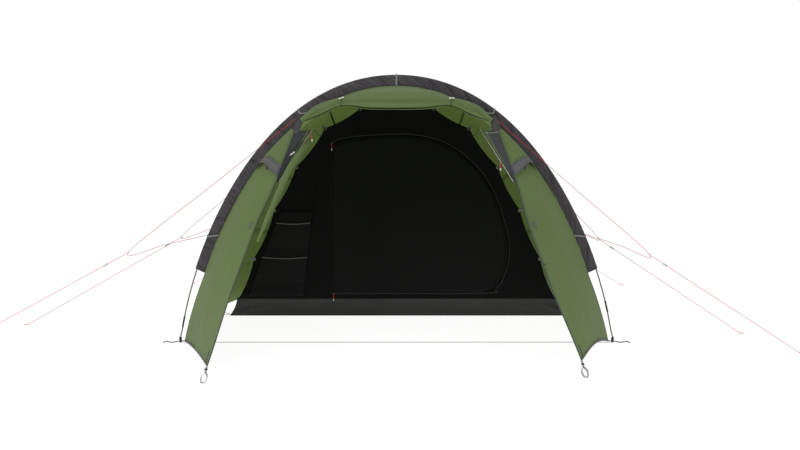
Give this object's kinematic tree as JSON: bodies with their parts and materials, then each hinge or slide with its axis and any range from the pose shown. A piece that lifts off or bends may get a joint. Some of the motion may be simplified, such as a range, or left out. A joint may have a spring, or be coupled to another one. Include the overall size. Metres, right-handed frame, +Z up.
{
  "type": "tunnel tent",
  "caption": "Tunnel tent on bent hoop poles with a pegged-out open porch, rolled front door, hung black inner tent with a D-shaped door, and taut red guy lines.",
  "frame": {"origin": "on the ground under the centre of the tent's box, measured without the guy lines and their runners", "axes": "+Z up; the open front faces -Y, the tent's length runs along +Y, +X to the right as seen from the front"},
  "size_m": [5.2515, 4.8628, 1.7239],
  "materials": {
    "pole_tube": "satin grey-green coating",
    "pole_socket": "satin dark grey",
    "foot_plastic": "matt black",
    "sleeve_fabric": "matt charcoal coated polyester",
    "fly_fabric": "matt olive green coated polyester",
    "fly_fabric_inside": "matt green, light comes through",
    "patch_fabric": "matt grey",
    "vent_mesh": "fine grey insect mesh",
    "inner_fabric": "matt black polyester",
    "pocket_mesh": "black mesh with grey binding",
    "floor_fabric": "dark grey coated polyester",
    "toggle_plastic": "matt light grey",
    "zip_pull": "red cord pulls with light ends",
    "webbing": "woven light grey webbing",
    "guy_cord": "braided red cord",
    "runner_plastic": "matt light grey"
  },
  "bodies": {
    "tent": {"front_pole_crown": "pole_tube", "middle_pole": "pole_tube", "rear_pole": "pole_tube", "front_pole_leg_left": "pole_socket", "front_pole_leg_right": "pole_socket", "front_foot_left": "foot_plastic", "front_foot_right": "foot_plastic", "front_sleeve": "sleeve_fabric", "middle_sleeve": "sleeve_fabric", "rear_sleeve": "sleeve_fabric", "fly_porch_left": "fly_fabric", "fly_porch_right": "fly_fabric", "fly_sleeping_left": "fly_fabric", "fly_sleeping_right": "fly_fabric", "fly_rear": "fly_fabric", "wing_left": "fly_fabric", "wing_right": "fly_fabric", "vent_hood_left": "fly_fabric", "vent_hood_right": "fly_fabric", "vent_mesh_left": "vent_mesh", "vent_mesh_right": "vent_mesh", "door_lintel": "fly_fabric", "door_roll": "fly_fabric", "side_roll": "fly_fabric", "inner_front_wall": "inner_fabric", "inner_shell": "inner_fabric", "pocket_panel": "pocket_mesh", "groundsheet": "floor_fabric", "threshold_strap": "webbing", "peg_loop_left": "webbing", "peg_loop_right": "webbing", "guy_front_left": "guy_cord", "guy_front_right": "guy_cord", "guy_middle_left": "guy_cord", "guy_middle_right": "guy_cord", "guy_rear_left": "guy_cord", "guy_rear_right": "guy_cord", "bridle_front_left": "guy_cord", "bridle_front_right": "guy_cord", "bridle_middle_left": "guy_cord", "bridle_middle_right": "guy_cord"},
    "inner_door": {"inner_door": "inner_fabric"},
    "inner_zip_top": {"inner_zip_top": "zip_pull"},
    "inner_zip_bottom": {"inner_zip_bottom": "zip_pull"},
    "vent_strut_left": {"vent_strut_left": "patch_fabric"},
    "vent_strut_right": {"vent_strut_right": "patch_fabric"},
    "toggle_left": {"toggle_left": "toggle_plastic"},
    "toggle_right": {"toggle_right": "toggle_plastic"},
    "toggle_side": {"toggle_side": "toggle_plastic"},
    "porch_zip_left": {"porch_zip_left": "zip_pull"},
    "porch_zip_right": {"porch_zip_right": "zip_pull"},
    "runner_front_left": {"runner_front_left": "runner_plastic"},
    "runner_front_right": {"runner_front_right": "runner_plastic"},
    "runner_middle_left": {"runner_middle_left": "runner_plastic"},
    "runner_middle_right": {"runner_middle_right": "runner_plastic"},
    "runner_rear_left": {"runner_rear_left": "runner_plastic"},
    "runner_rear_right": {"runner_rear_right": "runner_plastic"}
  },
  "joints": [
    {"name": "inner_door_swing", "type": "hinge", "parent": "tent", "child": "inner_door", "pos_m": [-0.5, 0.069, 0.17], "axis": [0, 0, -1], "range_deg": [0, 90]},
    {"name": "inner_zip_top_slide", "type": "slide", "parent": "inner_door", "child": "inner_zip_top", "axis": [0.92, 0, 0.392], "range_m": [0, 0.11]},
    {"name": "inner_zip_bottom_slide", "type": "slide", "parent": "tent", "child": "inner_zip_bottom", "axis": [1, 0, 0], "range_m": [0, 1.09]},
    {"name": "vent_strut_left_fold", "type": "hinge", "parent": "tent", "child": "vent_strut_left", "pos_m": [-0.80767, -1.36522, 1.12322], "axis": [-0.729, 0.6845, 0], "range_deg": [0, 30]},
    {"name": "vent_strut_right_fold", "type": "hinge", "parent": "tent", "child": "vent_strut_right", "pos_m": [0.80699, -1.34727, 1.12322], "axis": [-0.7871, -0.6169, 0], "range_deg": [0, 30]},
    {"name": "toggle_left_turn", "type": "hinge", "parent": "tent", "child": "toggle_left", "pos_m": [-0.345, -1.315, 1.568], "axis": [0, -1, 0], "range_deg": [-80, 80]},
    {"name": "toggle_right_turn", "type": "hinge", "parent": "tent", "child": "toggle_right", "pos_m": [0.345, -1.315, 1.568], "axis": [0, -1, 0], "range_deg": [-80, 80]},
    {"name": "toggle_side_turn", "type": "hinge", "parent": "tent", "child": "toggle_side", "pos_m": [-0.642, -1.413, 1.222], "axis": [0, -1, 0], "range_deg": [-80, 80]},
    {"name": "porch_zip_left_slide", "type": "slide", "parent": "tent", "child": "porch_zip_left", "axis": [-0.3997, -0.5932, -0.6988], "range_m": [-0.014, 0.405]},
    {"name": "porch_zip_right_slide", "type": "slide", "parent": "tent", "child": "porch_zip_right", "axis": [0.4243, -0.5306, -0.7338], "range_m": [-0.263, 0.136]},
    {"name": "runner_front_left_slide", "type": "slide", "parent": "tent", "child": "runner_front_left", "axis": [-0.8759, -0.0487, -0.4801], "range_m": [-0.115, 0.953]},
    {"name": "runner_front_right_slide", "type": "slide", "parent": "tent", "child": "runner_front_right", "axis": [0.8078, -0.2411, -0.5379], "range_m": [-0.065, 0.848]},
    {"name": "runner_middle_left_slide", "type": "slide", "parent": "tent", "child": "runner_middle_left", "axis": [-0.8336, -0.2693, -0.4823], "range_m": [-0.075, 1.004]},
    {"name": "runner_middle_right_slide", "type": "slide", "parent": "tent", "child": "runner_middle_right", "axis": [0.7102, -0.5044, -0.4911], "range_m": [-0.075, 0.969]},
    {"name": "runner_rear_left_slide", "type": "slide", "parent": "tent", "child": "runner_rear_left", "axis": [-0.8035, 0.1734, -0.5694], "range_m": [-0.39, 0.733]},
    {"name": "runner_rear_right_slide", "type": "slide", "parent": "tent", "child": "runner_rear_right", "axis": [0.8511, 0.0743, -0.5198], "range_m": [-0.39, 0.858]}
  ]
}
